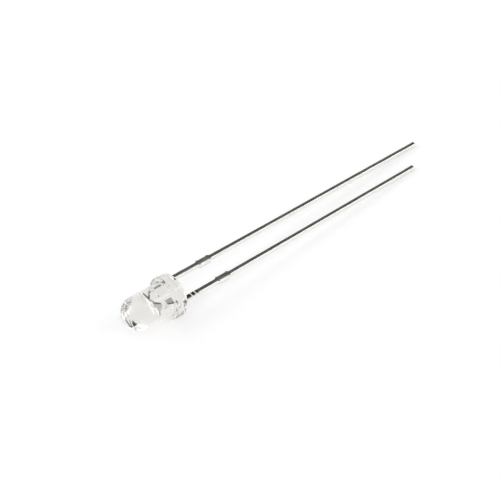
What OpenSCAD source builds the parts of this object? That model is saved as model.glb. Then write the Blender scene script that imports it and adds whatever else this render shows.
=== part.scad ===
// A clear 3 mm through-hole LED, lying on a flat surface as it comes to rest.
// The lamp is drawn upright in its own axes: the optical axis is Z, the back face of the flange is at
// z = 0, the dome points up, the leads hang down, and both leads lie in the XZ plane. The cup
// sits on the lens's axis, and the middle of the two leads a little beside it. The last section turns
// the lamp over onto the edge of its flange and the tips of its two leads.

/* [Lens] */
// Diameter of the round lens body
lens_d = 3.0; // [2.9:0.05:3.1]
// Height from the back face of the flange to the tip of the dome
lens_h = 5.25; // [4.9:0.05:6.0]
// Diameter of the flange
flange_d = 3.8; // [3.7:0.05:4.2]
// Thickness of the flange
flange_t = 1.0; // [0.9:0.05:1.2]
// Depth of the flat that marks the cathode side of the flange
flat_depth = 0.15; // [0.05:0.01:0.2]
// Radius where the lens body meets the flange
root_r = 0.12; // [0.05:0.01:0.2]
// Bevel round the front and back edges of the flange
flange_bevel = 0.08; // [0.04:0.01:0.12]
// Depth of the dish that the cast epoxy leaves in the back face
dish_depth = 0.06; // [0.03:0.01:0.1]
// How far the epoxy creeps up each lead behind the flange
creep_h = 0.22; // [0.1:0.02:0.4]
// How much wider the creep is at the flange than at its tip, on each side
creep_flare = 0.12; // [0.06:0.01:0.14]
// Epoxy left over the corners of the lead at the tip of the creep
creep_skin = 0.03; // [0.02:0.01:0.04]

/* [Leads] */
// Distance between the centres of the two leads
lead_pitch = 2.54; // [2.5:0.02:2.6]
// Width of a lead, across the pair
lead_w = 0.4; // [0.36:0.01:0.44]
// Thickness of the lead frame strip
lead_t = 0.4; // [0.36:0.01:0.44]
// Length of the anode lead behind the flange
anode_l = 30.15; // [28:0.05:31]
// Length of the cathode lead behind the flange
cathode_l = 27.75; // [18:0.05:28]
// How far the tip of each lead has strayed in towards the other
toe_in = 0.14; // [0:0.01:0.2]
// How far the tips of both leads have swayed towards the anode side
sway = 0.76; // [0:0.02:0.8]
// How far the middle of the two leads sits off the lens's axis, towards the anode side
frame_off = 0.19; // [0:0.01:0.2]
// Width of a lead across its stop, where the tie bar was cut off
stop_w = 0.66; // [0.6:0.02:0.8]
// Length of the stop along the lead
stop_l = 1.2; // [0.8:0.1:1.6]
// Distance from the flange to the middle of the stop
stop_z = 4.6; // [3:0.1:6]

/* [Lead frame heads] */
// Height above the back face at which the leads step in towards the axis
step_z = 0.3; // [0.25:0.05:0.4]
// How far each lead steps in towards the axis
step_in = 0.32; // [0.3:0.01:0.36]
// Height of the rim of the reflector cup above the back face
cup_z = 2.8; // [2.7:0.05:2.9]
// Outer diameter of the cup at its rim
cup_d = 0.88; // [0.84:0.02:0.92]
// Depth of the cup
cup_depth = 0.3; // [0.26:0.02:0.34]
// Thickness of the cup wall at the rim
cup_wall = 0.07; // [0.05:0.01:0.08]
// Diameter of the floor of the cup
cup_floor_d = 0.44; // [0.42:0.01:0.46]
// Height of the top edge of the cathode head above the floor of the cup
sill_h = 0.04; // [0.02:0.01:0.08]
// Cut at the outer top corner of the cathode head
corner_cut = 0.1; // [0.06:0.02:0.16]
// How far the cathode head reaches past the axis under the cup
head_x = 0.1; // [0.06:0.01:0.14]
// Distance from the axis to the inner edge of the cathode's web
web_x = 0.25; // [0.22:0.01:0.3]
// Height of the slant between the web and the underside of the cup
slant_h = 0.46; // [0.4:0.02:0.5]
// Radius of the round key on the inner edge of the web
key_r = 0.2; // [0.16:0.01:0.22]
// Radius of the small notches on the outer edges of both heads
notch_r = 0.1; // [0.06:0.01:0.12]
// Height of the small notches above the step
notch_rise = 0.6; // [0.4:0.05:0.7]
// Distance from the axis to the inner edge of the anode post
post_x = 0.69; // [0.64:0.01:0.72]
// Height of the anode post above the back face
post_z = 2.52; // [2.46:0.02:2.56]
// Gap between the cup and the flag at the top of the anode post
head_gap = 0.16; // [0.14:0.01:0.18]
// Height of the upright tip of the flag
flag_h = 0.1; // [0.06:0.02:0.16]

/* [Chip and wire] */
// Side of the square chip
chip_w = 0.24; // [0.2:0.02:0.26]
// Height of the chip
chip_h = 0.14; // [0.1:0.02:0.18]
// Thickness of the silver glue under the chip
glue_t = 0.02; // [0.01:0.01:0.03]
// How far the glue spreads beyond the corners of the chip
glue_spread = 0.03; // [0.02:0.01:0.04]
// Diameter of the contact pad on the chip
pad_d = 0.11; // [0.1:0.01:0.13]
// Thickness of the contact pad
pad_t = 0.01; // [0.01:0.005:0.02]
// Diameter of the bond wire
wire_d = 0.03; // [0.025:0.005:0.035]
// Diameter of the ball at the chip end of the wire
ball_d = 0.08; // [0.07:0.01:0.09]
// Rise of the wire's arc above the line between its two ends
wire_rise = 0.3; // [0.26:0.01:0.36]

/* [Hidden] */
$fn = 64;
eps = 0.01;

lens_r = lens_d / 2;
flange_r = flange_d / 2;
dome_z = lens_h - lens_r;                          // centre of the dome's sphere
dish_r = flange_r - 3 * flange_bevel;              // the dish stays clear of the flange's edge
dish_ball_r = (dish_r * dish_r + dish_depth * dish_depth) / (2 * dish_depth);
creep_tip_r = norm([lead_w, lead_t]) / 2 + creep_skin;
creep_root_r = creep_tip_r + creep_flare;
creep_edge_r = flange_r - 1.5 * flange_bevel;      // the creep stays on the flat of the flange's rim

lead_x = lead_pitch / 2;
anode_x = lead_x + frame_off;                      // middle of each lead where it enters the lens
cathode_x = lead_x - frame_off;
anode_out_x = anode_x + lead_w / 2 - step_in;      // outer edge of each head
anode_in_x = anode_x - lead_w / 2 - step_in;       // inner edge of each lead above the step
cathode_out_x = cathode_x + lead_w / 2 - step_in;
cathode_in_x = cathode_x - lead_w / 2 - step_in;
neck_z = step_z + step_in;                         // the step slants at 45 degrees
notch_z = neck_z + notch_rise;

cup_r = cup_d / 2;
cup_floor_r = cup_floor_d / 2;
cup_floor_z = cup_z - cup_depth;
strip_r = lead_t / 2;
bowl_z = cup_z - cup_r;                            // the bowl grows out of the strip here
head_z = cup_floor_z + sill_h;
web_z = bowl_z - slant_h;                          // top of the web's inner edge
key_z = web_z - 1.1 * key_r;                       // the key sits just under the slant
bowl_r = strip_r + (cup_r - strip_r) * (post_z - bowl_z) / cup_r;   // the bowl's radius at the flag
flag_x = bowl_r + head_gap;
flag_drop = sqrt(3) * (post_x - flag_x);           // the flag's underside slants at 60 degrees

chip_z = cup_floor_z + glue_t;
pad_z = chip_z + chip_h;
ball_z = pad_z + pad_t;
wire_r = wire_d / 2;
ball_r = ball_d / 2;
glue_r = chip_w / sqrt(2) + glue_spread;
stitch_x = -(anode_out_x + flag_x) / 2;                // middle of the flag's flat top
stitch_r = 2 * wire_d;
stitch_h = 0.9 * wire_d;

// The wire's arc: both ends lie one wire radius above the metal they are bonded to
wire_a = [0, ball_z + wire_r];
wire_b = [stitch_x, post_z + wire_r];
wire_mid = (wire_a + wire_b) / 2;
wire_half = norm(wire_b - wire_a) / 2;
wire_bend_r = (wire_half * wire_half + wire_rise * wire_rise) / (2 * wire_rise);
wire_along = (wire_a - wire_mid) / wire_half;
wire_centre = wire_mid + (wire_rise - wire_bend_r) * [-wire_along[1], wire_along[0]];
wire_half_angle = asin(wire_half / wire_bend_r);
wire_tilt = atan2(wire_along[1], wire_along[0]);

// Outline of the lens to the right of its axis
module lens_profile() {
    difference() {
        union() {
            square([flange_r, flange_t]);
            square([lens_r, dome_z]);
            translate([0, flange_t - eps]) square([lens_r + root_r, root_r + eps]);
            intersection() {
                translate([0, dome_z]) circle(lens_r);
                translate([0, dome_z - lens_r]) square([lens_r, 2 * lens_r]);
            }
        }
        translate([lens_r + root_r, flange_t + root_r]) circle(root_r);
        for (edge = [0, flange_t])
            translate([flange_r, edge]) rotate(45) square(flange_bevel * sqrt(2), center = true);
    }
}

module lens_blank() {
    difference() {
        rotate_extrude() lens_profile();
        translate([0, 0, dish_depth - dish_ball_r]) sphere(dish_ball_r);
        translate([flange_r - flat_depth, -flange_r, -eps])
            cube([flange_r, flange_d, flange_t + 2 * eps]);
    }
    for (x = [-anode_x, cathode_x]) intersection() {
        translate([x, 0, -creep_h])
            cylinder(h = creep_h + dish_depth, r1 = creep_tip_r, r2 = creep_root_r);
        translate([0, 0, -2 * creep_h])
            cylinder(h = 2 * creep_h + dish_depth + eps, r = creep_edge_r);
    }
}

// One edge of a lead below the flange, from the tip up. The edge starts at x at the flange, and strays in
// by lean for each millimetre behind it; bump is how far the stop stands out, with its sign
function lead_edge(x, bump, length, lean) = [
    [x - lean * length, -length],
    [x - lean * (stop_z + stop_l / 2 + abs(bump)), -stop_z - stop_l / 2 - abs(bump)],
    [x + bump - lean * (stop_z + stop_l / 2), -stop_z - stop_l / 2],
    [x + bump - lean * (stop_z - stop_l / 2), -stop_z + stop_l / 2],
    [x - lean * (stop_z - stop_l / 2 - abs(bump)), -stop_z + stop_l / 2 + abs(bump)],
    [x, 0],
    [x, step_z]
];

function back_to_front(points) = [for (i = [len(points) - 1 : -1 : 0]) points[i]];

bump_w = (stop_w - lead_w) / 2;

// Closed outline of a lead that enters the lens at x and whose tip has strayed in by toe, with the head
// given by its points above the step
module lead_outline(x, length, toe, head) {
    polygon(concat(
        lead_edge(x + lead_w / 2, bump_w, length, toe / length),
        head,
        back_to_front(lead_edge(x - lead_w / 2, -bump_w, length, toe / length))
    ));
}

// Turns an outline in the XZ plane into strip of the lead frame's thickness
module stamp() {
    translate([0, lead_t / 2, 0]) rotate([90, 0, 0]) linear_extrude(lead_t) children();
}

// A round bite through the strip that keys a head into the epoxy
module bite(x, z, r) {
    translate([x, lead_t, z]) rotate([90, 0, 0]) cylinder(h = 2 * lead_t, r = r);
}

// The head widens from the lead to a broad web, and reaches in under the cup
module cathode_lead() {
    color("silver") difference() {
        union() {
            stamp() lead_outline(cathode_x, cathode_l, toe_in + sway, [
                [cathode_out_x, neck_z],
                [cathode_out_x, head_z - corner_cut],
                [cathode_out_x - corner_cut, head_z],
                [-head_x, head_z],
                [-head_x, bowl_z],
                [web_x, web_z],
                [web_x, neck_z],
                [cathode_in_x, neck_z]
            ]);
            translate([0, 0, bowl_z]) cylinder(h = cup_r, r1 = strip_r, r2 = cup_r);
        }
        translate([0, 0, cup_floor_z])
            cylinder(h = cup_depth, r1 = cup_floor_r, r2 = cup_r - cup_wall);
        bite(cathode_out_x, notch_z, notch_r);
        bite(web_x, key_z, key_r);
    }
}

// The post widens at its top into a flag that points at the cup
module anode_lead() {
    color("silver") mirror([1, 0, 0]) difference() {
        stamp() lead_outline(anode_x, anode_l, toe_in - sway, [
            [anode_out_x, neck_z],
            [anode_out_x, post_z],
            [flag_x, post_z],
            [flag_x, post_z - flag_h],
            [post_x, post_z - flag_h - flag_drop],
            [post_x, neck_z],
            [anode_in_x, neck_z]
        ]);
        bite(anode_out_x, notch_z, notch_r);
    }
}

module die_attach() {
    color("gainsboro") translate([0, 0, cup_floor_z]) cylinder(h = glue_t, r = glue_r);
}

module led_chip() {
    color("dimgray") translate([-chip_w / 2, -chip_w / 2, chip_z]) cube([chip_w, chip_w, chip_h]);
}

module bond_pad() {
    color("gold") translate([0, 0, pad_z]) cylinder(h = pad_t, d = pad_d);
}

// Ball on the chip, one arc of wire, and a flattened stitch on the anode post
module bond_wire() {
    color("gold") {
        intersection() {
            translate([0, 0, ball_z + ball_r / 2]) sphere(ball_r);
            translate([0, 0, ball_z]) cylinder(h = ball_d, d = 2 * ball_d);
        }
        translate([wire_centre[0], 0, wire_centre[1]]) rotate([90, 0, 0])
            rotate(wire_tilt + 90 - wire_half_angle) rotate_extrude(angle = 2 * wire_half_angle)
                translate([wire_bend_r, 0]) circle(wire_r);
        translate([stitch_x, 0, post_z]) cylinder(h = stitch_h, r1 = stitch_r, r2 = stitch_r / 2);
    }
}

module lens() {
    color("aliceblue", 0.3) difference() {
        lens_blank();
        cathode_lead();
        anode_lead();
        die_attach();
        led_chip();
        bond_pad();
        bond_wire();
    }
}

// Resting attitude. The lamp touches the surface at the edge of the flange and at one corner of each
// lead tip; up is the surface's normal seen in the lamp's own axes, scaled so that its z is 1.
reach = anode_l + flange_bevel;
up_x = -(anode_l - cathode_l) / (lead_pitch - 2 * toe_in);
tip_x = toe_in - sway - anode_x;                   // middle of the anode lead at its tip
corner_x = tip_x + lead_w / 2;
reach_c = reach - up_x * corner_x;
quad_a = flange_r * flange_r - lead_t * lead_t / 4;
quad_c = flange_r * flange_r * up_x * up_x - reach_c * reach_c;
up_y = (reach_c * lead_t + sqrt(reach_c * reach_c * lead_t * lead_t - 4 * quad_a * quad_c)) / (2 * quad_a);
up = [up_x, up_y, 1] / norm([up_x, up_y, 1]);
along_raw = [0, 0, -1] + up[2] * up;
along = along_raw / norm(along_raw);
across = cross(up, along);
lift = flange_r * norm([up[0], up[1]]) - up[2] * flange_bevel;
dome_tip = along * [0, 0, dome_z] - lens_r;
lead_tip = along * [tip_x - lead_w / 2, lead_t / 2, -anode_l];
centre_x = (dome_tip + lead_tip) / 2;

module at_rest() {
    multmatrix([
        [along[0], along[1], along[2], -centre_x],
        [across[0], across[1], across[2], 0],
        [up[0], up[1], up[2], lift],
        [0, 0, 0, 1]
    ]) children();
}

at_rest() lens();
at_rest() cathode_lead();
at_rest() anode_lead();
at_rest() die_attach();
at_rest() led_chip();
at_rest() bond_pad();
at_rest() bond_wire();
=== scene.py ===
# %% [markdown]
# # A clear 3 mm LED on a white table
# This lesson dresses the engineering model of a small light-emitting diode. The lamp lies on its
# side, on the edge of its flange and the tips of its two leads. It has seven pieces: a lens of
# cast epoxy, two stamped leads, and inside the lens a chip, the glue under it, its contact pad and
# a gold wire thinner than a hair.
# First the imported model is loaded as a fixed frame. Its box is kept.

# %% Load the frame
import math
import random

import bmesh
import bpy
from mathutils import Matrix, Vector


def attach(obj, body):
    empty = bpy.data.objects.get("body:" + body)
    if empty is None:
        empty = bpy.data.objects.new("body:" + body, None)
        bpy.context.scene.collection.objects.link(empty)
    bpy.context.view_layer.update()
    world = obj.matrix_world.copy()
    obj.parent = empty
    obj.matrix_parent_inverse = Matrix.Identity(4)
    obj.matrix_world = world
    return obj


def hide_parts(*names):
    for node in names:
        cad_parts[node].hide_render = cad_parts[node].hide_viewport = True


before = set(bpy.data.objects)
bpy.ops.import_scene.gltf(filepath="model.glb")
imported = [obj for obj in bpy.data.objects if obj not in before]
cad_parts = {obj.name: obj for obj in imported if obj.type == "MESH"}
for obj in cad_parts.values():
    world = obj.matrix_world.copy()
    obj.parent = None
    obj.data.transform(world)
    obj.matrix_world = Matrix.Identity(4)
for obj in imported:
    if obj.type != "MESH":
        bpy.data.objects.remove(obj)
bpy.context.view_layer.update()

print("nodes:", sorted(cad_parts))

# %% [markdown]
# ## The lamp's own axes
# A lathe or a press sees the lamp upright: the optical axis is Z, the back of the flange is at
# z = 0, the dome points up and the leads hang down. Drawing each piece in those axes keeps the
# numbers simple. One matrix then lays the whole lamp down. It is worked out from the three points
# that touch the table: the edge of the flange, and one corner of each lead tip.

# %% Sizes in millimetres
LENS_R, LENS_H = 1.5, 5.25
FLANGE_R, FLANGE_T, FLAT_DEPTH = 1.9, 1.0, 0.15
ROOT_R, FLANGE_EDGE = 0.12, 0.08
LEAD_X, LEAD_W, LEAD_T = 1.27, 0.4, 0.4
ANODE_L, CATHODE_L = 30.15, 27.75
TOE_IN = 0.14                     # how far each tip leans towards the other
SWAY, FRAME_OFF = 0.76, 0.19      # towards the anode's side: both tips, and the legs' roots
ANODE_X, CATHODE_X = LEAD_X + FRAME_OFF, LEAD_X - FRAME_OFF
STOP_W, STOP_L, STOP_Z = 0.66, 1.2, 4.6
CUP_Z, CUP_DEPTH, GLUE_T, CHIP_H = 2.8, 0.3, 0.02, 0.14
CUP_FLOOR_Z = CUP_Z - CUP_DEPTH
CHIP_Z = CUP_FLOOR_Z + GLUE_T
PAD_Z = CHIP_Z + CHIP_H
DOME_Z = LENS_H - LENS_R


def resting_matrix():
    """From the lamp's own axes in millimetres to the row frame in metres. The table's normal is
    (k, y, 1) before it is made one long: k levels the tips, and y is the root of a quadratic that
    lets the edge of the flange touch as well."""
    k = -(ANODE_L - CATHODE_L) / (2 * LEAD_X - 2 * TOE_IN)
    tip_x = TOE_IN - SWAY - ANODE_X
    corner_x = tip_x + LEAD_W / 2
    c = ANODE_L + FLANGE_EDGE - k * corner_x
    a = FLANGE_R ** 2 - LEAD_T ** 2 / 4
    q = (FLANGE_R * k) ** 2 - c * c
    y = (c * LEAD_T + math.sqrt((c * LEAD_T) ** 2 - 4 * a * q)) / (2 * a)
    up = Vector((k, y, 1)).normalized()
    along = (Vector((0, 0, -1)) + up.z * up).normalized()
    across = up.cross(along)
    lift = FLANGE_R * math.hypot(up.x, up.y) - up.z * FLANGE_EDGE
    dome_tip = along.z * DOME_Z - LENS_R
    lead_tip = along.dot(Vector((tip_x - LEAD_W / 2, LEAD_T / 2, -ANODE_L)))
    turn = Matrix((along, across, up)).to_4x4()
    turn.translation = Vector((-(dome_tip + lead_tip) / 2, 0, lift))
    return Matrix.Scale(0.001, 4) @ turn


MM_TO_ROW = resting_matrix()
LAMP = MM_TO_ROW @ Matrix.Scale(1000, 4)
print("optical axis leans", round(math.degrees(math.asin(-LAMP[2][2])), 2), "degrees")

# %% [markdown]
# ## The camera
# The photograph looks down on the lamp from the dome's side. A pinhole camera was fitted to the
# outline of the lens, the lines of both leads and their tips. The lens is long, because a small
# object is photographed from well back to keep all of it sharp.

# %% Camera
AZIMUTH, ELEVATION, DISTANCE = math.radians(42.18), math.radians(41.24), 0.200
ASIDE, ABOVE, FOCAL_PX = -6.422e-3, -3.520e-3, 2433.4
PICTURE_PX, SENSOR_MM = 500, 36

cam_back = Vector((-math.sin(AZIMUTH) * math.cos(ELEVATION),
                   -math.cos(AZIMUTH) * math.cos(ELEVATION), math.sin(ELEVATION)))
cam_right = Vector((math.cos(AZIMUTH), -math.sin(AZIMUTH), 0))
cam_up = cam_back.cross(cam_right)
between_leads = MM_TO_ROW @ Vector((-FRAME_OFF, 0, 0))

camera = bpy.data.objects.new("camera", bpy.data.cameras.new("camera"))
bpy.context.scene.collection.objects.link(camera)
camera.matrix_world = Matrix.LocRotScale(
    between_leads + DISTANCE * cam_back - ASIDE * cam_right - ABOVE * cam_up,
    Matrix((cam_right, cam_up, cam_back)).transposed(), None)
camera.data.sensor_width = SENSOR_MM
camera.data.lens = FOCAL_PX / PICTURE_PX * SENSOR_MM
camera.data.clip_start, camera.data.clip_end = 0.01, 20
bpy.context.scene.camera = camera
print("camera at", [round(c, 4) for c in camera.location])

# %% [markdown]
# ## Helpers for meshes
# Round pieces are made as a stack of rings joined by quads, as a lathe would turn them. Each piece
# is drawn in millimetres in the lamp's axes, and laid down by the matrix as its mesh is made.

# %% Mesh helpers


def new_piece(name, points, faces, smooth=True):
    """A mesh object in the lamp's own axes, from points in millimetres."""
    mesh = bpy.data.meshes.new(name)
    mesh.from_pydata([MM_TO_ROW @ Vector(p) for p in points], [], faces)
    mesh.update()
    for poly in mesh.polygons:
        poly.use_smooth = smooth
    piece = bpy.data.objects.new(name, mesh)
    bpy.context.scene.collection.objects.link(piece)
    return piece


def ring_faces(ring_count, ring_size, cap_start=True, cap_end=True):
    """Quads between successive closed rings, and a fan on each end to one extra point."""
    faces = []
    for i in range(ring_count - 1):
        for j in range(ring_size):
            n = (j + 1) % ring_size
            a, b = i * ring_size, (i + 1) * ring_size
            faces.append((a + j, a + n, b + n, b + j))
    last = ring_count * ring_size
    if cap_start:
        faces += [(last, (j + 1) % ring_size, j) for j in range(ring_size)]
        last += 1
    if cap_end:
        base = (ring_count - 1) * ring_size
        faces += [(last, base + j, base + (j + 1) % ring_size) for j in range(ring_size)]
    return faces


def turned(name, profile, segments, centre=(0, 0)):
    """A lathe piece from (radius, z) pairs that run from its lower pole to its upper pole."""
    points = []
    for r, z in profile[1:-1]:
        for j in range(segments):
            t = 2 * math.pi * j / segments
            points.append((centre[0] + r * math.cos(t), centre[1] + r * math.sin(t), z))
    points += [(centre[0], centre[1], profile[0][1]), (centre[0], centre[1], profile[-1][1])]
    return new_piece(name, points, ring_faces(len(profile) - 2, segments))


def keep_corners(piece, degrees):
    """Smooth shading that stops at edges sharper than the angle."""
    bm = bmesh.new()
    bm.from_mesh(piece.data)
    bmesh.ops.recalc_face_normals(bm, faces=bm.faces)
    for edge in bm.edges:
        edge.smooth = len(edge.link_faces) == 2 and edge.calc_face_angle(0) < math.radians(degrees)
    bm.to_mesh(piece.data)
    bm.free()


def finish_piece(piece, material, slot, *nodes):
    """Gives a piece its finish, ties it to the body and hides the CAD nodes it stands for."""
    piece.data.materials.clear()
    piece.data.materials.append(material)
    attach(piece, "root")
    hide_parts(*nodes)
    print(piece.name, len(piece.data.polygons), "faces")


print("mesh helpers:", [f.__name__ for f in (new_piece, ring_faces, turned, keep_corners)])

# %% [markdown]
# ## Helpers for materials
# A material is a small network of nodes. These helpers make one node each and link it, so that a
# material reads as a list of steps. Marks are placed in the lamp's own axes, in millimetres.

# %% Node helpers


def new_group(name, inputs, outputs):
    """An empty shader node group with named sockets, given as (name, type, default)."""
    group = bpy.data.node_groups.new(name, "ShaderNodeTree")
    for label, kind, value in inputs:
        socket = group.interface.new_socket(name=label, in_out="INPUT", socket_type=kind)
        if value is not None:
            socket.default_value = value
    for label, kind in outputs:
        group.interface.new_socket(name=label, in_out="OUTPUT", socket_type=kind)
    return group, group.nodes.new("NodeGroupInput"), group.nodes.new("NodeGroupOutput")


def node(tree, kind, label="", **settings):
    made = tree.nodes.new(kind)
    made.label = label
    for key, value in settings.items():
        setattr(made, key, value)
    return made


def maths(tree, operation, a, b=None):
    """A Math node; a and b are sockets or plain numbers."""
    made = node(tree, "ShaderNodeMath", operation=operation)
    for i, value in enumerate((a, b)):
        if value is None:
            continue
        if isinstance(value, (int, float)):
            made.inputs[i].default_value = value
        else:
            tree.links.new(value, made.inputs[i])
    return made.outputs[0]


def times(tree, a, b):
    return maths(tree, "MULTIPLY", a, b)


def blend(tree, factor, a, b):
    """A colour mix; a and b are sockets or colours."""
    made = node(tree, "ShaderNodeMix", data_type="RGBA")
    tree.links.new(factor, made.inputs[0])
    for i, value in ((6, a), (7, b)):
        if isinstance(value, tuple):
            made.inputs[i].default_value = value
        else:
            tree.links.new(value, made.inputs[i])
    return made.outputs[2]


def remap(tree, value, low, high, new_low=0.0, new_high=1.0, smooth=False):
    made = node(tree, "ShaderNodeMapRange")
    if smooth:
        made.interpolation_type = "SMOOTHSTEP"
    tree.links.new(value, made.inputs[0])
    for i, number in enumerate((low, high, new_low, new_high)):
        made.inputs[i + 1].default_value = number
    return made.outputs[0]


def millimetres(tree):
    """The point on the piece in the lamp's own axes, in millimetres."""
    place = node(tree, "ShaderNodeTexCoord")
    axes = node(tree, "ShaderNodeMapping", label="back to the lamp's axes", vector_type="TEXTURE")
    axes.inputs["Location"].default_value = LAMP.translation
    axes.inputs["Rotation"].default_value = LAMP.to_euler()
    axes.inputs["Scale"].default_value = (0.001, 0.001, 0.001)
    tree.links.new(place.outputs["Object"], axes.inputs["Vector"])
    return axes.outputs[0]


def new_material(name, **sockets):
    """A Principled material with its constants set on the shader's own sockets."""
    material = bpy.data.materials.new(name)
    material.use_nodes = True
    tree = material.node_tree
    shader = tree.nodes["Principled BSDF"]
    for label, value in sockets.items():
        shader.inputs[label.replace("_", " ")].default_value = value
    return material, tree, shader


def plug(tree, shader, **values):
    """Links values to the shader's sockets, which are named with _ for a space."""
    for label, value in values.items():
        tree.links.new(value, shader.inputs[label.replace("_", " ")])


def relief(tree, shader, height, strength, distance):
    """Raises the surface by a mask, over a distance in metres."""
    bump = node(tree, "ShaderNodeBump")
    bump.inputs["Strength"].default_value = strength
    bump.inputs["Distance"].default_value = distance
    tree.links.new(height, bump.inputs["Height"])
    plug(tree, shader, Normal=bump.outputs[0])


def mix_on_surface(tree, factor, first, second):
    """Gives the surface a mix of two shaders."""
    mix = node(tree, "ShaderNodeMixShader")
    for i, source in enumerate((factor, first, second)):
        tree.links.new(source, mix.inputs[i])
    tree.links.new(mix.outputs[0], tree.nodes["Material Output"].inputs["Surface"])


print("node helpers:", [f.__name__ for f in (maths, blend, remap, millimetres, plug)])

# %% [markdown]
# ## Effects that several finishes share
# Metal strip carries fine lines along the way it was rolled, and every surface that has been
# handled is a little uneven in its gloss. Both are node groups, so each material can place them
# with its own values.

# %% Shared effects


def rolled_grain_group():
    """Fine lines along Z, with the odd deeper scratch."""
    g, ins, outs = new_group("rolled_grain", [
        ("Position", "NodeSocketVector", None), ("Lines per mm", "NodeSocketFloat", 30.0),
        ("Stretch", "NodeSocketFloat", 0.03)],
        [("Lines", "NodeSocketFloat"), ("Scratches", "NodeSocketFloat")])
    split = node(g, "ShaderNodeSeparateXYZ")
    g.links.new(ins.outputs["Position"], split.inputs[0])
    join = node(g, "ShaderNodeCombineXYZ")
    g.links.new(split.outputs[0], join.inputs[0])
    g.links.new(split.outputs[1], join.inputs[1])
    g.links.new(times(g, split.outputs[2], ins.outputs["Stretch"]), join.inputs[2])
    fine = node(g, "ShaderNodeTexNoise", label="fine lines")
    fine.inputs["Detail"].default_value = 3
    g.links.new(join.outputs[0], fine.inputs["Vector"])
    g.links.new(ins.outputs["Lines per mm"], fine.inputs["Scale"])
    deep = node(g, "ShaderNodeTexNoise", label="scratches")
    deep.inputs["Detail"].default_value = 2
    g.links.new(join.outputs[0], deep.inputs["Vector"])
    g.links.new(times(g, ins.outputs["Lines per mm"], 0.4), deep.inputs["Scale"])
    g.links.new(fine.outputs["Fac"], outs.inputs["Lines"])
    g.links.new(remap(g, deep.outputs["Fac"], 0.62, 0.72), outs.inputs["Scratches"])
    return g


def handling_group():
    """Soft smudges, as left by fingers."""
    g, ins, outs = new_group("handling_marks", [
        ("Position", "NodeSocketVector", None), ("Size", "NodeSocketFloat", 1.0)],
        [("Smudge", "NodeSocketFloat")])
    cloud = node(g, "ShaderNodeTexNoise", label="smudges")
    cloud.inputs["Detail"].default_value = 4
    cloud.inputs["Distortion"].default_value = 0.6
    g.links.new(ins.outputs["Position"], cloud.inputs["Vector"])
    g.links.new(maths(g, "DIVIDE", 1.0, ins.outputs["Size"]), cloud.inputs["Scale"])
    g.links.new(remap(g, cloud.outputs["Fac"], 0.45, 0.7), outs.inputs["Smudge"])
    return g


ROLLED_GRAIN, HANDLING = rolled_grain_group(), handling_group()


def place_group(tree, group, **values):
    made = node(tree, "ShaderNodeGroup", node_tree=group)
    tree.links.new(millimetres(tree), made.inputs["Position"])
    for label, value in values.items():
        made.inputs[label.replace("_", " ")].default_value = value
    return made


print("node groups:", [g.name for g in bpy.data.node_groups])

# %% [markdown]
# ## Clear epoxy
# The lens is water-clear casting resin that took its gloss from a polished mould. A Principled
# shader with full transmission and the resin's index of refraction bends what is seen through it.
# Lamps would see such a lens as a solid thing and give it a black shadow, so shadow rays pass it
# through a Transparent shader, which keeps a little of them back. The gloss is slightly uneven
# from handling, and the resin is a trace warmer than white, which shows where light crosses it
# many times.

# %% Epoxy material
CLEAN_RESIN, SMUDGED_RESIN = (0.984, 0.979, 0.971, 1), (0.966, 0.961, 0.953, 1)
SHADOW_TONE = (0.80, 0.80, 0.81, 1)   # what one surface of the lens lets through of a lamp's light


def epoxy_material():
    material, tree, shader = new_material("clear_epoxy", Transmission_Weight=1.0, IOR=1.53)
    marks = place_group(tree, HANDLING, Size=1.4)
    tint = blend(tree, marks.outputs["Smudge"], CLEAN_RESIN, SMUDGED_RESIN)
    rough = maths(tree, "ADD", times(tree, marks.outputs["Smudge"], 0.03), 0.01)
    plug(tree, shader, Base_Color=tint, Roughness=rough)
    wave = node(tree, "ShaderNodeTexNoise", label="mould waviness")
    wave.inputs["Scale"].default_value = 0.9
    tree.links.new(millimetres(tree), wave.inputs["Vector"])
    relief(tree, shader, wave.outputs["Fac"], 0.06, 0.0001)
    clear = node(tree, "ShaderNodeBsdfTransparent")
    clear.inputs[0].default_value = SHADOW_TONE
    rays = node(tree, "ShaderNodeLightPath")
    mix_on_surface(tree, rays.outputs["Is Shadow Ray"], shader.outputs[0], clear.outputs[0])
    return material


EPOXY = epoxy_material()
print("made", EPOXY.name)

# %% [markdown]
# ## Plated leads
# The lead frame is iron strip. Inside the lens it is plated with silver, and the legs outside are
# tinned. Both are metals, so only the base colour and the roughness change, by height in the lamp.
# The sides were sheared by the punch: the upper part of a cut edge is burnished and the lower part
# is torn, which shows as a duller band on the legs. Its darker tone is partly painted shade, for
# the shaded table that the lower edge mirrors.
# The photograph also shows marks. Painted reflections on the cathode's head stand for the dark and
# pale shapes that its polished silver mirrors, and a painted dark reflection covers the inner side
# of the anode's post. The trimming tool left two crushed marks on the cathode's leg near the
# flange, and the leg is painted darker around them. The bar that tied the leads together was cut
# off at the stops: there the cut is torn deeper, its band darker with painted shade, and half of
# each stop's upper face is duller.

# %% Colours and marks of the leads
CRUSHED_Z = (-1.0, -1.43)         # heights of the two crushed marks on the cathode's leg, in mm
CRUSHED_HALF = 0.06               # half the width of one mark
TIN, SMUDGED_TIN, SILVER = (0.95, 0.94, 0.90, 1), (0.89, 0.88, 0.84, 1), (0.94, 0.935, 0.92, 1)
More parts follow.
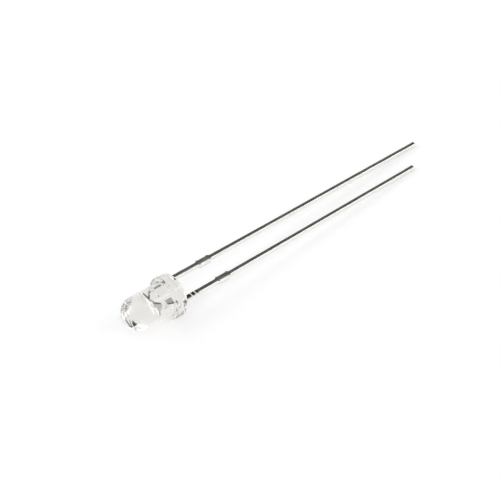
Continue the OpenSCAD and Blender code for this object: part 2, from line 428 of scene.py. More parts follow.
# the torn tone is partly duller torn metal and partly painted shade, for the shaded table that the
# lower edges mirror
TORN_AND_SHADE, SCRATCHED, BLACK = (0.66, 0.65, 0.62, 1), (0.55, 0.55, 0.53, 1), (0, 0, 0, 1)
TORN_AND_SHADE_SHARE, STOP_TORN_AND_SHADE_SHARE = 0.25, 0.8   # how much of the torn tone and its painted shade shows on the legs and stops
TRAPPED_LIGHT = (0.45, 0.44, 0.425, 1)    # on the sides of the heads that face HIDDEN_WAY
HIDDEN_WAY = (-0.52, -0.65, -0.55)        # away from the camera, in the lamp's axes
TOPS_SHARE, SIDES_SHARE = 0.5, 0.2        # how much of that light their tops and other sides have
GRAIN_ROUGH, TIN_ROUGH, SILVER_ROUGH = 0.10, 0.10, 0.03
TORN_ROUGH, SMUDGE_ROUGH, STUB_ROUGH, CRUSHED_ROUGH = 0.15, 0.06, 0.22, 0.6
PAINTED_DARK_REFLECTION = (0.10, 0.095, 0.09, 1)  # painted dark reflection: the near-black that the post's inner sides mirror
DARK_REFLECTION_SIDES = (                   # where the anode's post gets that painted reflection: corners (x, z), lowest y
    ([(-0.76, 0.70), (-0.5, 0.70), (-0.5, 1.45), (-0.76, 1.45)], -0.06),
    ([(-0.76, 1.85), (-0.3, 1.85), (-0.3, 2.6), (-0.76, 2.6)], -0.3),
)
STUB_FACES = (                    # near halves of the stops' upper faces: anode, cathode
    [(-1.42, -5.3), (-1.0, -5.3), (-1.0, -3.9), (-1.42, -3.9)],
    [(1.07, -5.3), (1.5, -5.3), (1.5, -3.9), (1.07, -3.9)],
)
UPPER_Y, TORN_AND_SHADE_Y = 0.1, (-0.05, -0.1)  # the upper face is above the first; torn metal with painted shade below
RESIN_Z = (-0.2, 0.15)            # tin gives way to silver between these heights
SIDEWAYS = (0.75, 0.45)           # a face that looks along Y by less than this is a side
TURNED = (0.0, 0.3)               # from none to all of the light, as a face turns towards it
STUB_SOFT, STOP_FADE = 0.2, 0.15  # how softly the marks on the stops end
SCRATCH_SHARE, SCRATCH_DEPTH, GRAIN_HEIGHT = 0.2, 0.6, 0.15
PAINTED_REFLECTIONS_AND_PATCHES = (                       # painted reflections and darker patches on the cathode's upper face: corners and colour
    # a painted grey reflection low on the head, and its dark right edge
    ([(0.2, 0.82), (0.88, 0.84), (0.66, 1.50), (0.2, 1.50)], (0.42, 0.43, 0.43, 1)),
    ([(0.74, 0.84), (0.90, 0.84), (0.68, 1.50), (0.58, 1.40)], (0.10, 0.11, 0.10, 1)),
    # a pale painted reflection under the cup, shaped as a funnel, and its dark left edge
    ([(0.3, 1.93), (0.5, 1.93), (0.96, 2.45), (0.96, 2.6), (-0.05, 2.6)], (0.60, 0.585, 0.565, 1)),
    ([(0.28, 1.93), (0.38, 1.93), (0.12, 2.52), (-0.05, 2.52)], (0.12, 0.12, 0.11, 1)),
    # the leg painted darker above, between and below the two crushed marks
    ([(0.7, -0.94), (1.4, -0.94), (1.4, 0.1), (0.7, 0.1)], (0.30, 0.27, 0.24, 1)),
    ([(0.7, -1.37), (1.4, -1.37), (1.4, -1.06), (0.7, -1.06)], (0.30, 0.27, 0.24, 1)),
    ([(0.7, -1.75), (1.4, -1.75), (1.4, -1.49), (0.7, -1.49)], (0.50, 0.46, 0.42, 1)),
)
print("marks:", len(CRUSHED_Z + DARK_REFLECTION_SIDES + STUB_FACES + PAINTED_REFLECTIONS_AND_PATCHES))

# %% [markdown]
# The marks have straight edges, so each is a mask given by its corners: one soft step across every
# side of the shape, all multiplied. No picture is needed, and a mark stays sharp at any distance.
# Which way a face looks tells the sheared sides from the flat faces.

# %% Masks for the marks


def crushed_marks(tree, split):
    """Two low ridges across the cathode's leg, as a mask."""
    total = None
    for z in CRUSHED_Z:
        away = maths(tree, "ABSOLUTE", maths(tree, "SUBTRACT", split.outputs[2], z))
        ridge = remap(tree, away, CRUSHED_HALF, 0.0, smooth=True)
        total = ridge if total is None else maths(tree, "MAXIMUM", total, ridge)
    return times(tree, total, maths(tree, "GREATER_THAN", split.outputs[0], 0.0))


def beside(tree, position, ax, az, bx, bz, soft):
    """1 to the left of the line from a to b in the plane of x and z, and 0 to its right."""
    dx, dz = bx - ax, bz - az
    length = math.hypot(dx, dz)
    across = node(tree, "ShaderNodeVectorMath", operation="DOT_PRODUCT")
    tree.links.new(position, across.inputs[0])
    across.inputs[1].default_value = (-dz / length, 0, dx / length)
    start = (-dz * ax + dx * az) / length
    return remap(tree, across.outputs["Value"], start - soft, start + soft, smooth=True)


def patch(tree, position, corners, soft=0.03):
    """A mask over a shape with straight edges, its corners (x, z) given anticlockwise."""
    total = None
    for (ax, az), (bx, bz) in zip(corners, corners[1:] + corners[:1]):
        side = beside(tree, position, ax, az, bx, bz, soft)
        total = side if total is None else times(tree, total, side)
    return total


def facing(tree, direction):
    """How far a face is turned towards a direction in the lamp's axes, from -1 to 1."""
    place = node(tree, "ShaderNodeTexCoord")
    turned_to = node(tree, "ShaderNodeVectorMath", operation="DOT_PRODUCT")
    tree.links.new(place.outputs["Normal"], turned_to.inputs[0])
    turned_to.inputs[1].default_value = (LAMP.to_3x3() @ Vector(direction)).normalized()
    return turned_to.outputs["Value"]


print("masks:", [f.__name__ for f in (crushed_marks, patch, facing)])

# %% [markdown]
# The finish is built up in layers: plating, torn metal with painted shade, and scratches, then the
# marks. Light goes round many times inside the lens, and fills the sides of the heads that face
# away from the camera, which the photograph shows only as pale images in the resin. Few traced rays
# find that way, so a weak glow stands in for it, in the resin only.

# %% Lead material


def lead_material():
    material, tree, shader = new_material("plated_lead", Metallic=1.0)
    grain = place_group(tree, ROLLED_GRAIN, Lines_per_mm=28.0, Stretch=0.03)
    marks = place_group(tree, HANDLING, Size=0.9)
    position = millimetres(tree)
    split = node(tree, "ShaderNodeSeparateXYZ")
    tree.links.new(position, split.inputs[0])
    y, z = split.outputs[1], split.outputs[2]
    inside = remap(tree, z, *RESIN_Z, smooth=True)
    sides = remap(tree, maths(tree, "ABSOLUTE", facing(tree, (0, 1, 0))), *SIDEWAYS, smooth=True)
    upper = maths(tree, "GREATER_THAN", y, UPPER_Y)
    torn_and_shade = times(tree, remap(tree, y, *TORN_AND_SHADE_Y, smooth=True), sides)
    torn_and_shade = times(tree, torn_and_shade, maths(tree, "SUBTRACT", 1.0, inside))
    crushed = crushed_marks(tree, split)

    # the colour of the metal
    tin = blend(tree, marks.outputs["Smudge"], TIN, SMUDGED_TIN)
    metal = blend(tree, inside, tin, SILVER)
    from_stop = maths(tree, "ABSOLUTE", maths(tree, "ADD", z, STOP_Z))
    share = remap(tree, from_stop, STOP_L / 2 + STOP_FADE, STOP_L / 2, TORN_AND_SHADE_SHARE, STOP_TORN_AND_SHADE_SHARE)
    # the torn tone, partly torn metal and partly painted shade, is stronger at the stops
    metal = blend(tree, times(tree, torn_and_shade, share), metal, TORN_AND_SHADE)
    metal = blend(tree, times(tree, grain.outputs["Scratches"], SCRATCH_SHARE), metal, SCRATCHED)

    # the light trapped in the resin
    hidden = remap(tree, facing(tree, HIDDEN_WAY), *TURNED, smooth=True)
    tops = remap(tree, facing(tree, (0, 0, 1)), *TURNED, new_high=TOPS_SHARE, smooth=True)
    others = maths(tree, "MAXIMUM", tops, times(tree, sides, SIDES_SHARE))
    filled = times(tree, maths(tree, "MAXIMUM", hidden, others), inside)
    glow = blend(tree, filled, BLACK, TRAPPED_LIGHT)

    # patches over both
    # the painted dark reflection on the inner sides of the anode's post, with the glow taken off
    # there
    for corners, low in DARK_REFLECTION_SIDES:
        dark_reflection = times(tree, sides, patch(tree, position, corners))
        dark_reflection = times(tree, dark_reflection, maths(tree, "GREATER_THAN", y, low))
        metal = blend(tree, dark_reflection, metal, PAINTED_DARK_REFLECTION)
        glow = blend(tree, dark_reflection, glow, BLACK)
    # painted reflections on the cathode's head, and darker patches on its leg
    for corners, colour in PAINTED_REFLECTIONS_AND_PATCHES:
        metal = blend(tree, times(tree, patch(tree, position, corners), upper), metal, colour)
    shader.inputs["Emission Strength"].default_value = 1.0

    # the gloss
    rough = maths(tree, "ADD", times(tree, grain.outputs["Lines"], GRAIN_ROUGH),
                  remap(tree, inside, 0, 1, TIN_ROUGH, SILVER_ROUGH))
    parts = [(torn_and_shade, TORN_ROUGH), (marks.outputs["Smudge"], SMUDGE_ROUGH)]
    parts += [(times(tree, patch(tree, position, corners, STUB_SOFT), upper), STUB_ROUGH)
              for corners in STUB_FACES]
    for mask, amount in parts + [(crushed, CRUSHED_ROUGH)]:
        rough = maths(tree, "ADD", rough, times(tree, mask, amount))
    plug(tree, shader, Base_Color=metal, Emission_Color=glow, Roughness=rough)

    # the relief
    height = maths(tree, "SUBTRACT", grain.outputs["Lines"],
                   times(tree, grain.outputs["Scratches"], SCRATCH_DEPTH))
    height = maths(tree, "ADD", times(tree, height, GRAIN_HEIGHT), crushed)
    relief(tree, shader, height, 1.0, 0.00002)
    return material


LEAD_METAL = lead_material()
print("made", LEAD_METAL.name)

# %% [markdown]
# ## Glue, chip and gold
# Silver-filled glue is grey paste with bright flakes. The chip is a sawn block of dark crystal with
# a polished top. The contact pad and the wire are pure gold, and the wire is drawn so smooth that
# only its colour and a soft gleam show.

# %% Small materials


def glue_material():
    material, tree, shader = new_material("silver_glue", Metallic=0.35)
    flakes = node(tree, "ShaderNodeTexVoronoi", label="silver flakes")
    flakes.inputs["Scale"].default_value = 60
    tree.links.new(millimetres(tree), flakes.inputs["Vector"])
    bright = remap(tree, flakes.outputs["Distance"], 0.1, 0.6, 1.0, 0.0)
    grey = blend(tree, bright, (0.42, 0.42, 0.41, 1), (0.75, 0.75, 0.73, 1))
    plug(tree, shader, Base_Color=grey, Roughness=remap(tree, bright, 0, 1, 0.6, 0.35))
    return material


def chip_material():
    material, tree, shader = new_material("chip", IOR=2.4)
    split = node(tree, "ShaderNodeSeparateXYZ")
    tree.links.new(millimetres(tree), split.inputs[0])
    top = remap(tree, split.outputs[2], PAD_Z - 0.015, PAD_Z - 0.005)
    saw = place_group(tree, ROLLED_GRAIN, Lines_per_mm=90.0, Stretch=1.0)
    side = blend(tree, saw.outputs["Lines"], (0.05, 0.05, 0.055, 1), (0.13, 0.13, 0.14, 1))
    colour = blend(tree, top, side, (0.10, 0.10, 0.115, 1))
    plug(tree, shader, Base_Color=colour, Roughness=remap(tree, top, 0, 1, 0.5, 0.12))
    return material


def gold_material():
    material, tree, shader = new_material("gold", Metallic=1.0)
    lines = place_group(tree, ROLLED_GRAIN, Lines_per_mm=150.0, Stretch=0.2).outputs["Lines"]
    gold = blend(tree, lines, (0.88, 0.80, 0.64, 1), (0.95, 0.88, 0.72, 1))
    plug(tree, shader, Base_Color=gold, Roughness=remap(tree, lines, 0, 1, 0.18, 0.3))
    return material


GLUE, CHIP, GOLD = glue_material(), chip_material(), gold_material()
print("made", [m.name for m in (GLUE, CHIP, GOLD)])

# %% [markdown]
# ## The lens
# The lens is one casting: a dome, a round body, a flange with a flat on the cathode's side, and a
# back face that sank a little as the resin cured, and crept up each lead. It could be booleans of
# primitives, but every edge would then be sharp, and light bends visibly wrong at a badly shaded
# edge in clear resin. One stack of rings gives rounded edges everywhere. The flat is cut by
# limiting x on the rings of the flange, and the back face is a height for each point. The flat
# meets the round of the flange in a soft corner, as cast resin does. The model's rounds are made
# of short flats, so a true round would stand a few thousandths of a millimetre outside them: HAIR
# takes that off.

# %% Lens
SEGMENTS, EDGE_STEPS, ROOT_STEPS, BODY_STEPS, DOME_STEPS = 360, 7, 8, 12, 48
BACK_RINGS, BACK_CROWD = 60, 0.8  # below 1, the back's rings lie closer together near its rim
HAIR = 0.004                      # taken off each radius, to stay inside the model's flats
FLAT_X, FLAT_SOFT = FLANGE_R - FLAT_DEPTH, 0.2
DISH_R, DISH_DEPTH = FLANGE_R - 3 * FLANGE_EDGE, 0.06
CREEP_H, CREEP_REACH, CREEP_FADE = 0.22, 0.07, 0.12   # the creep dies out before the rim


def soft_min(a, b, width):
    """The smaller of two numbers, with the corner between them rounded."""
    h = max(width - abs(a - b), 0) / width
    return min(a, b) - h * h * width / 4


def back_height(x, y):
    """Height of the back face: a shallow dish, with resin drawn up each lead."""
    z = DISH_DEPTH * max(0.0, 1 - (x * x + y * y) / DISH_R ** 2)
    rim = min(max((FLANGE_R - HAIR - FLANGE_EDGE - math.hypot(x, y)) / CREEP_FADE, 0.0), 1.0)
    for lead_x in (-ANODE_X, CATHODE_X):
        dx = max(abs(x - lead_x) - LEAD_W / 2, 0)
        dy = max(abs(y) - LEAD_T / 2, 0)
        z -= CREEP_H * math.exp(-math.hypot(dx, dy) / CREEP_REACH) * rim
    return z


def arc(cr, cz, radius, start, end, steps):
    """Points (r, z) on an arc; angles in degrees, from the +r direction towards +z."""
    for i in range(steps + 1):
        t = math.radians(start + (end - start) * i / steps)
        yield cr + radius * math.cos(t), cz + radius * math.sin(t)


def lens_rings():
    """(radius, z or None for the back face, limit of x or None), from the back's middle out."""
    outer, body = FLANGE_R - HAIR, LENS_R - HAIR
    rim_r, rim_flat = outer - FLANGE_EDGE, FLAT_X - FLANGE_EDGE
    for i in range(1, BACK_RINGS + 1):
        r = rim_r * (i / BACK_RINGS) ** BACK_CROWD
        yield r, None, rim_flat * r / rim_r
    for r, z in list(arc(rim_r, FLANGE_EDGE, FLANGE_EDGE, -90, 0, EDGE_STEPS))[1:]:
        yield r, z, FLAT_X - (outer - r)
    for i in (1, 2, 3):
        yield outer, FLANGE_EDGE + i / 4 * (FLANGE_T - 2 * FLANGE_EDGE), FLAT_X
    for r, z in arc(rim_r, FLANGE_T - FLANGE_EDGE, FLANGE_EDGE, 0, 90, EDGE_STEPS):
        yield r, z, FLAT_X - (outer - r)
    inner = body + ROOT_R
    for i in (1, 2, 3):
        r = rim_r + (inner - rim_r) * i / 4
        yield r, FLANGE_T, inner + (r - inner) * (rim_flat - inner) / (rim_r - inner)
    for r, z in arc(inner, FLANGE_T + ROOT_R, ROOT_R, -90, -180, ROOT_STEPS):
        yield r, z, None
    for i in range(1, BODY_STEPS):
        yield body, FLANGE_T + ROOT_R + i / BODY_STEPS * (DOME_Z - FLANGE_T - ROOT_R), None
    for r, z in list(arc(0, DOME_Z, body, 0, 90, DOME_STEPS))[:-1]:
        yield r, z, None


def make_lens():
    points, rings = [], list(lens_rings())
    for r, z, limit in rings:
        for j in range(SEGMENTS):
            t = 2 * math.pi * j / SEGMENTS
            x, y = r * math.cos(t), r * math.sin(t)
            if limit is not None:
                x = soft_min(x, limit, FLAT_SOFT)
            points.append((x, y, back_height(x, y) if z is None else z))
    points += [(0, 0, back_height(0, 0)), (0, 0, LENS_H - HAIR)]
    lens = new_piece("lens_casting", points, ring_faces(len(rings), SEGMENTS))
    keep_corners(lens, 50)
    return lens


lens = make_lens()
finish_piece(lens, EPOXY, "clear_epoxy", "lens")

# %% [markdown]
# ## The stamped leads
# A punch cuts both leads from one strip, so each is a flat outline with a thickness. Real edges are
# never square: the punch rolls one side over, and the tin rounds them further. A Bevel modifier
# stops at the shortest edge, which would keep the long legs sharp, so the rounding is drawn here:
# the outline is pulled in by a few small steps on its way up to each face, by its own amount at
# each corner.

# %% Outlines in millimetres, in the plane of both leads
STEP_Z, STEP_IN = 0.3, 0.32
CUP_R, CUP_WALL, CUP_FLOOR_R = 0.44, 0.07, 0.22
SILL_H, CORNER_CUT, HEAD_X, WEB_X, SLANT_H, KEY_R = 0.04, 0.1, 0.1, 0.25, 0.46, 0.2
NOTCH_R, NOTCH_RISE = 0.1, 0.6
POST_X, POST_Z, HEAD_GAP, FLAG_H = 0.69, 2.52, 0.16, 0.1
BOWL_Z = CUP_Z - CUP_R
NECK_Z = STEP_Z + STEP_IN
ANODE_OUT_X, ANODE_IN_X = ANODE_X + LEAD_W / 2 - STEP_IN, ANODE_X - LEAD_W / 2 - STEP_IN
CATHODE_OUT_X, CATHODE_IN_X = CATHODE_X + LEAD_W / 2 - STEP_IN, CATHODE_X - LEAD_W / 2 - STEP_IN
HEAD_Z, WEB_Z = CUP_FLOOR_Z + SILL_H, BOWL_Z - SLANT_H
KEY_Z = WEB_Z - 1.1 * KEY_R
BOWL_AT_FLAG = LEAD_T / 2 + (CUP_R - LEAD_T / 2) * (POST_Z - BOWL_Z) / CUP_R
FLAG_X = BOWL_AT_FLAG + HEAD_GAP
FLAG_DROP = math.sqrt(3) * (POST_X - FLAG_X)
ROLL, CORNER, STUB_ROLL = 0.045, 0.03, 0.12   # radii: a leg's edges, sharp corners, cut stubs
FAR_ROLL, FULL_ROLL_AT = 0.105, 12    # the upper edge on the anode's side of each leg: its radius
                                      # grows from ROLL at the flange to this, 12 mm behind it
EASE, STUB_EASE = 0.12, 0.14      # how far from a corner one radius gives way to the next


def leg(base_x, length, toe, side, roll):
    """One edge of a leg from its tip up to the step; side is 1 for the outer edge, -1 for the
    inner, and roll is the radius that its upper edge reaches towards the tip. Each point is
    (x, z, radius of its upper edge, radius of its lower edge), and a drop is how far it lies
    behind the flange."""
    def x_at(drop, half):
        return base_x - toe * drop / length + side * half

    def rolled(drop):
        return ROLL + (roll - ROLL) * min(drop / FULL_ROLL_AT, 1)

    w, bump = LEAD_W / 2, (STOP_W - LEAD_W) / 2
    edge = [(x_at(length, w), -length, CORNER, CORNER),
            (x_at(length, w), -length + EASE, rolled(length), ROLL)]
    drop = length - 1.0
    while drop > STOP_Z + STOP_L:
        edge.append((x_at(drop, w), -drop, rolled(drop), ROLL))
        drop -= 1.0
    low, high = STOP_Z + STOP_L / 2, STOP_Z - STOP_L / 2
    edge += [(x_at(low + bump + EASE, w), -low - bump - EASE, rolled(low), ROLL),
             (x_at(low + bump, w), -low - bump, CORNER, CORNER),
             (x_at(low, w + bump), -low, CORNER, CORNER),
             (x_at(low - STUB_EASE, w + bump), -low + STUB_EASE, STUB_ROLL, CORNER),
             (x_at(high + STUB_EASE, w + bump), -high - STUB_EASE, STUB_ROLL, CORNER),
             (x_at(high, w + bump), -high, CORNER, CORNER),
             (x_at(high - bump, w), -high + bump, CORNER, CORNER),
             (x_at(high - bump - EASE, w), -high + bump + EASE, rolled(high), ROLL),
             (x_at(2.0, w), -2.0, rolled(2.0), ROLL), (x_at(0, w), 0, ROLL, ROLL),
             (base_x + side * w, STEP_Z, CORNER, CORNER)]
    return edge


def sharp(*corners):
    """Corners with the small radius on both faces."""
    return [(x, z, CORNER, CORNER) for x, z in corners]


def bite(x, z, radius, start, end, steps=20):
    """A round bite out of an edge, as points from one angle to the other, in degrees."""
    for i in range(steps + 1):
        t = math.radians(start + (end - start) * i / steps)
        yield x + radius * math.cos(t), z + radius * math.sin(t)


def outer_notch(x):
    return bite(x, NECK_Z + NOTCH_RISE, NOTCH_R, -90, -270)


cathode_leg = CATHODE_X, CATHODE_L, TOE_IN + SWAY
anode_leg = ANODE_X, ANODE_L, TOE_IN - SWAY
cathode_outline = leg(*cathode_leg, 1, ROLL) + sharp(
    (CATHODE_OUT_X, NECK_Z), *outer_notch(CATHODE_OUT_X), (CATHODE_OUT_X, HEAD_Z - CORNER_CUT),
    (CATHODE_OUT_X - CORNER_CUT, HEAD_Z), (-HEAD_X, HEAD_Z), (-HEAD_X, BOWL_Z), (WEB_X, WEB_Z),
    *bite(WEB_X, KEY_Z, KEY_R, 90, -90, 32), (WEB_X, NECK_Z), (CATHODE_IN_X, NECK_Z))
cathode_outline += leg(*cathode_leg, -1, FAR_ROLL)[::-1]
anode_outline = leg(*anode_leg, 1, FAR_ROLL) + sharp(
    (ANODE_OUT_X, NECK_Z), *outer_notch(ANODE_OUT_X), (ANODE_OUT_X, POST_Z), (FLAG_X, POST_Z),
    (FLAG_X, POST_Z - FLAG_H), (POST_X, POST_Z - FLAG_H - FLAG_DROP), (POST_X, NECK_Z),
    (ANODE_IN_X, NECK_Z))
anode_outline += leg(*anode_leg, -1, ROLL)[::-1]
print("outlines:", len(cathode_outline), "and", len(anode_outline), "points")

# %% [markdown]
# The inward step at each corner follows the corner's mitre, so edges stay parallel as they move
# in. Both faces are filled as one many-sided face.

# %% Stamping
MITRE_LIMIT, ROLL_STEPS = 0.35, 6     # a sharp corner's mitre is cut short; steps in each rounding


def pulled_in(outline, share, upper):
    """The outline with each corner moved in by share of its radius on one face, along its mitre."""
    result, n = [], len(outline)
    for i, (x, z, *radii) in enumerate(outline):
        before, after = outline[i - 1], outline[(i + 1) % n]
        a = Vector((x - before[0], z - before[1])).normalized()
        b = Vector((after[0] - x, after[1] - z)).normalized()
        na, nb = Vector((-a.y, a.x)), Vector((-b.y, b.x))
        m = na + nb
        m /= max(m.length_squared / 2, MITRE_LIMIT)
        radius = radii[0 if upper else 1]
        result.append((x + m.x * radius * share, z + m.y * radius * share, radius))
    return result


def stamped(name, outline, mirrored=False):
    """A flat stamping with rounded edges, its thickness along Y."""
    half, flip = LEAD_T / 2, -1 if mirrored else 1
    quarter = [math.radians(90 * i / ROLL_STEPS) for i in range(ROLL_STEPS + 1)]
    levels = [(1 - math.cos(t), 1 - math.sin(t), 1) for t in quarter[::-1]]
    levels += [(1 - math.cos(t), 1 - math.sin(t), -1) for t in quarter]
    points, n = [], len(outline)
    for share, rise, face in levels:
        for x, z, radius in pulled_in(outline, share, face > 0):
            points.append((flip * x, face * (half - radius * rise), z))
    faces = ring_faces(len(levels), n, False, False)
    faces += [tuple(range(n))[::-1], tuple(range((len(levels) - 1) * n, len(levels) * n))]
    piece = new_piece(name, points, faces)
    keep_corners(piece, 32)
    return piece


anode = stamped("anode_stamping", anode_outline, mirrored=True)
cathode = stamped("cathode_stamping", cathode_outline)
print("stamped:", anode.name, "and", cathode.name)

# %% [markdown]
# ## The reflector cup
# The cup is coined into the end of the cathode's head: a punch drives the metal out into a round
# bowl wider than the strip. Its inside is a cone with a flat floor, polished by the punch. It is
# turned as a lathe piece with rounded lips and then merged into the stamping with a Boolean.

# %% Cup
FOOT_H, FOOT_EDGE, CONE_CURVE = 0.05, 0.04, 1.15


def cup_profile():
    lip = CUP_WALL / 2
    mouth = CUP_R - CUP_WALL
    yield 0, BOWL_Z - FOOT_H
    yield LEAD_T / 2 - FOOT_EDGE, BOWL_Z - FOOT_H
    yield LEAD_T / 2, BOWL_Z
    for i in range(1, 9):
        s = i / 9
        yield LEAD_T / 2 + (CUP_R - LEAD_T / 2) * s, BOWL_Z + (CUP_R - lip) * s
    for i in range(9):
        t = math.radians(-20 + 200 * i / 8)
        yield CUP_R - lip + lip * math.cos(t), CUP_Z - lip + lip * math.sin(t)
    for i in range(1, 10):
        s = i / 10
        yield (mouth + (CUP_FLOOR_R - mouth) * s ** CONE_CURVE,
               CUP_Z - lip + (CUP_FLOOR_Z - CUP_Z + lip) * s)
    yield CUP_FLOOR_R - 0.01, CUP_FLOOR_Z + 0.002
    yield CUP_FLOOR_R - 0.03, CUP_FLOOR_Z
    yield 0, CUP_FLOOR_Z


cup = turned("cup", list(cup_profile()), 96)
merge = cathode.modifiers.new("cup", "BOOLEAN")
merge.operation, merge.solver, merge.object = "UNION", "EXACT", cup
graph = bpy.context.evaluated_depsgraph_get()
merged = bpy.data.meshes.new_from_object(cathode.evaluated_get(graph))
cathode.modifiers.clear()
cathode.data = merged
keep_corners(cathode, 32)
bpy.data.objects.remove(cup)
finish_piece(anode, LEAD_METAL, "plated_lead", "anode_lead")
finish_piece(cathode, LEAD_METAL, "plated_lead", "cathode_lead")

# %% [markdown]
# ## Glue dab and chip
# A dot of paste is stamped on the cup's floor and the chip is pressed into it, so the paste ends up
# a little wider than the chip and uneven at its rim. The chip is sawn from a wafer: a thin mesa
# stands on a slightly wider base, and the saw leaves small bevels.

# %% Glue and chip
CHIP_W = 0.24
GLUE_R = CHIP_W / math.sqrt(2) + 0.03
GLUE_WAVE, GLUE_DRAWN_IN, CHIP_CLIP = 0.008, 0.012, 0.006


def make_glue():
    rng = random.Random(4)
    waves = [(k, rng.uniform(-1, 1) * GLUE_WAVE / k ** 0.5, rng.uniform(0, 6.28))
             for k in (2, 3, 5, 7)]
    shape = [(0.99, 0), (1.0, 0.3), (0.98, 0.7), (0.94, 0.95), (0.88, 1.0), (0.6, 1.0)]
    n, points = 96, []
    for share, height in shape:
        for j in range(n):
            t = 2 * math.pi * j / n
            wobble = sum(a * math.cos(k * t + p) for k, a, p in waves) - GLUE_DRAWN_IN
            r = (GLUE_R + wobble) * share
            points.append((r * math.cos(t), r * math.sin(t), CUP_FLOOR_Z + GLUE_T * height))
    points += [(0, 0, CUP_FLOOR_Z), (0, 0, CHIP_Z)]
    return new_piece("glue_dab", points, ring_faces(len(shape), n))


def make_chip():
    """Square rings with clipped corners: base, saw bevel, ledge, mesa and polished top."""
    half, c = CHIP_W / 2, CHIP_CLIP
    levels = [(half - 0.004, 0), (half, 0.004), (half, CHIP_H * 0.72),
              (half - 0.006, CHIP_H * 0.74), (half - 0.014, CHIP_H * 0.75),
              (half - 0.018, CHIP_H * 0.97), (half - 0.022, CHIP_H)]
    points = []
    for h, z in levels:
        for x, y in ((h, -h + c), (h, h - c), (h - c, h), (-h + c, h), (-h, h - c), (-h, -h + c),
                     (-h + c, -h), (h - c, -h)):
            points.append((x, y, CHIP_Z + z))
    points += [(0, 0, CHIP_Z), (0, 0, PAD_Z)]
    return new_piece("chip_die", points, ring_faces(len(levels), 8), smooth=False)


glue, chip = make_glue(), make_chip()
keep_corners(chip, 20)
finish_piece(glue, GLUE, "silver_glue", "die_attach")
finish_piece(chip, CHIP, "chip", "led_chip")

# %% [markdown]
# ## Pad and bond wire
# The bonder melts the end of the wire to a ball, presses it on the gold pad, draws a loop across to
# the anode's post and squashes the wire there into a fan-shaped stitch. The loop is a round tube
# along an arc, drawn as rings, because a curve object with a bevel can't flatten at its end.

# %% Pad and wire
PAD_R, PAD_T, WIRE_R, BALL_R, WIRE_RISE = 0.055, 0.01, 0.015, 0.04, 0.3
BALL_Z = PAD_Z + PAD_T
STITCH_X = -(ANODE_OUT_X + FLAG_X) / 2
WIRE_STEPS, SQUASH_BY, SQUASH_FROM, SQUASH_SPAN = 60, 0.55, 0.93, 0.07   # its end is flat
BALL_SHAPE = ((0, 0), (0.033, 0), (0.039, 0.008), (BALL_R, 0.017), (0.038, 0.029), (0.031, 0.04),
              (0.022, 0.05), (0.016, 0.058), (0, 0.06))            # radius, height
STITCH_SHAPE = ((0, 0), (0.058, 0), (0.06, 0.003), (0.05, 0.009), (0.034, 0.018), (0.018, 0.025),
                (0, 0.027))


def make_pad():
    edge = PAD_T * 0.4
    profile = [(0, PAD_Z), (PAD_R - 0.002, PAD_Z), (PAD_R, PAD_Z + edge),
               (PAD_R - 0.001, PAD_Z + PAD_T * 0.8), (PAD_R - 0.004, BALL_Z),
               (PAD_R * 0.6, BALL_Z), (0, BALL_Z)]
    return turned("pad_disc", profile, 64)


def make_wire():
    start, end = Vector((0, BALL_Z + WIRE_R)), Vector((STITCH_X, POST_Z + WIRE_R))
    middle, half = (start + end) / 2, (end - start).length / 2
    bend = (half * half + WIRE_RISE * WIRE_RISE) / (2 * WIRE_RISE)
    along = (start - middle) / half
    centre = middle + (WIRE_RISE - bend) * Vector((-along.y, along.x))
    spread, tilt = math.asin(half / bend), math.atan2(along.y, along.x)
    points, n = [], 24
    for i in range(WIRE_STEPS + 1):
        s = i / WIRE_STEPS
        t = tilt + math.pi / 2 - spread + 2 * spread * s
        out = Vector((math.cos(t), math.sin(t)))
        squash = 1 - SQUASH_BY * max(0.0, (s - SQUASH_FROM) / SQUASH_SPAN)
        for j in range(n):
            a = 2 * math.pi * j / n
            p = centre + out * (bend + WIRE_R * squash * math.cos(a))
            points.append((p.x, WIRE_R * (2 - squash) * math.sin(a), p.y))
    points += [(start.x, 0, start.y), (end.x, 0, end.y)]
    wire = new_piece("gold_wire", points, ring_faces(WIRE_STEPS + 1, n))
    ball = turned("ball", [(r, BALL_Z + h) for r, h in BALL_SHAPE], 48)
    stitch = turned("stitch", [(r, POST_Z + h) for r, h in STITCH_SHAPE], 48, (STITCH_X, 0))
    bm = bmesh.new()
    for part in (wire, ball, stitch):
        bm.from_mesh(part.data)
    bmesh.ops.recalc_face_normals(bm, faces=bm.faces)
    bm.to_mesh(wire.data)
    bm.free()
    for poly in wire.data.polygons:
        poly.use_smooth = True
    for part in (ball, stitch):
        bpy.data.objects.remove(part)
    return wire


pad, wire = make_pad(), make_wire()
keep_corners(pad, 40)
finish_piece(pad, GOLD, "gold", "bond_pad")
finish_piece(wire, GOLD, "gold", "bond_wire")

# %% [markdown]
# ## Table
# The lamp was photographed on a white table. The table shows white to the camera, and in what metal
# reflects, by a little light of its own; its diffuse part still takes the lamp's shadow. Rays that
# come out of the resin see it as one pale tone: a real lens lights its own shadow from within, and
# here that shadow would darken the whole dome. The near sides of the leads mirror the table, which
# makes them bright beside the dark stripe of their upper faces.

# %% Table
PAPER_DARK, PAPER_LIGHT = (0.906, 0.905, 0.905, 1), (0.926, 0.925, 0.925, 1)
TABLE_GLOW, MIRROR_GLOW = 0.185, 0.18     # its own light for the camera, and as mirrored
BENT_TONE, BENT_SHARE = (0.80, 0.785, 0.76, 1), 0.88   # the table as seen through the resin


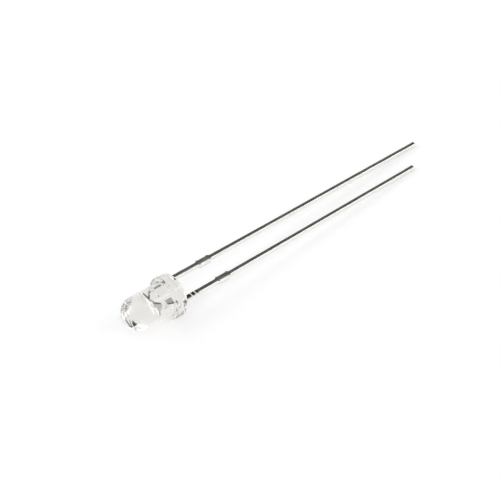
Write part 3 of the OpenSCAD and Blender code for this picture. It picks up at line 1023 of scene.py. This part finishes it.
def table_material():
    material, tree, shader = new_material("white_table", Roughness=0.85)
    shader.inputs["Specular IOR Level"].default_value = 0.1
    fleck = node(tree, "ShaderNodeTexNoise", label="paper tone")
    fleck.inputs["Scale"].default_value = 300
    place = node(tree, "ShaderNodeTexCoord")
    tree.links.new(place.outputs["Object"], fleck.inputs["Vector"])
    plug(tree, shader, Base_Color=blend(tree, fleck.outputs["Fac"], PAPER_DARK, PAPER_LIGHT))
    rays = node(tree, "ShaderNodeLightPath")
    seen = times(tree, rays.outputs["Is Camera Ray"], TABLE_GLOW)
    mirrored = times(tree, rays.outputs["Is Glossy Ray"], MIRROR_GLOW)
    glow = node(tree, "ShaderNodeEmission")
    tree.links.new(maths(tree, "ADD", seen, mirrored), glow.inputs["Strength"])
    add = node(tree, "ShaderNodeAddShader")
    tree.links.new(shader.outputs[0], add.inputs[0])
    tree.links.new(glow.outputs[0], add.inputs[1])
    bent = node(tree, "ShaderNodeEmission")
    bent.inputs["Color"].default_value = BENT_TONE
    through = times(tree, rays.outputs["Is Transmission Ray"], BENT_SHARE)
    mix_on_surface(tree, through, add.outputs[0], bent.outputs[0])
    return material


bpy.ops.mesh.primitive_plane_add(size=6)
table = bpy.context.object
table.name = "table"
table.data.materials.append(table_material())
print("table made")

# %% [markdown]
# ## Studio
# A white tent stands round the lamp, with one dark opening behind and above it, which the upper
# faces of the bare leads mirror. Rays that come out of the resin meet an even sky instead, because
# the photograph shows no dark opening inside the lens. Two softboxes give the lamp its soft shadow.
# They are hidden from rays that come out of the resin, which would show them as hard squares.

# %% World and lamps
TENT_LOW, TENT_HIGH = (0.90, 0.895, 0.88, 1), (0.80, 0.81, 0.83, 1)
EVEN_SKY = (0.85, 0.85, 0.84, 1)  # the tent as seen through the resin
OPENING = (0.075, 0.075, 0.07, 1)
PLAIN_WHITE = (1, 1, 1, 1)
DARK_FROM, DARK_TO = 28, 60       # lowest and highest elevation of the opening, in degrees
DARK_MIDDLE, DARK_HALF = 74, 38   # its middle and half width in azimuth, from +Y towards +X
SOFT, SOFT_TOP = 0.04, 0.05       # half the widths of its soft edges
SOFTBOX_SIZE, SOFTBOX_WATTS = 0.5, 1.4


def studio_world():
    """An even white tent with one dark opening; plain white to the camera."""
    world = bpy.data.worlds.new("studio")
    bpy.context.scene.world = world
    world.use_nodes = True
    tree = world.node_tree
    back = tree.nodes["Background"]
    place = node(tree, "ShaderNodeTexCoord")
    split = node(tree, "ShaderNodeSeparateXYZ")
    tree.links.new(place.outputs["Generated"], split.inputs[0])
    height = split.outputs[2]
    low, high = math.sin(math.radians(DARK_FROM)), math.sin(math.radians(DARK_TO))
    window = times(tree, remap(tree, height, low - SOFT, low + SOFT, smooth=True),
                   remap(tree, height, high + SOFT_TOP, high - SOFT_TOP, smooth=True))
    flat = node(tree, "ShaderNodeCombineXYZ")
    tree.links.new(split.outputs[0], flat.inputs[0])
    tree.links.new(split.outputs[1], flat.inputs[1])
    unit = node(tree, "ShaderNodeVectorMath", operation="NORMALIZE")
    tree.links.new(flat.outputs[0], unit.inputs[0])
    toward = node(tree, "ShaderNodeVectorMath", operation="DOT_PRODUCT")
    tree.links.new(unit.outputs[0], toward.inputs[0])
    middle = math.radians(DARK_MIDDLE)
    toward.inputs[1].default_value = (math.sin(middle), math.cos(middle), 0)
    edge = math.cos(math.radians(DARK_HALF))
    window = times(tree, window,
                   remap(tree, toward.outputs["Value"], edge - SOFT, edge + SOFT, smooth=True))
    tent = blend(tree, remap(tree, height, 0.0, 1.0), TENT_LOW, TENT_HIGH)
    sky = blend(tree, window, tent, OPENING)
    rays = node(tree, "ShaderNodeLightPath")
    sky = blend(tree, rays.outputs["Is Transmission Ray"], sky, EVEN_SKY)
    shown = blend(tree, rays.outputs["Is Camera Ray"], sky, PLAIN_WHITE)
    tree.links.new(shown, back.inputs["Color"])
    back.inputs["Strength"].default_value = 1.0


def softbox(name, place):
    light = bpy.data.lights.new(name, "AREA")
    light.shape, light.size, light.energy = "SQUARE", SOFTBOX_SIZE, SOFTBOX_WATTS
    lamp = bpy.data.objects.new(name, light)
    bpy.context.scene.collection.objects.link(lamp)
    lamp.location = place
    lamp.rotation_euler = (-Vector(place)).to_track_quat("-Z", "Y").to_euler()
    lamp.visible_transmission = False


studio_world()
softbox("softbox_left", (-0.62, 0.45, 0.60))
softbox("softbox_right", (0.75, -0.30, 0.60))
bpy.context.scene.view_settings.view_transform = "Standard"
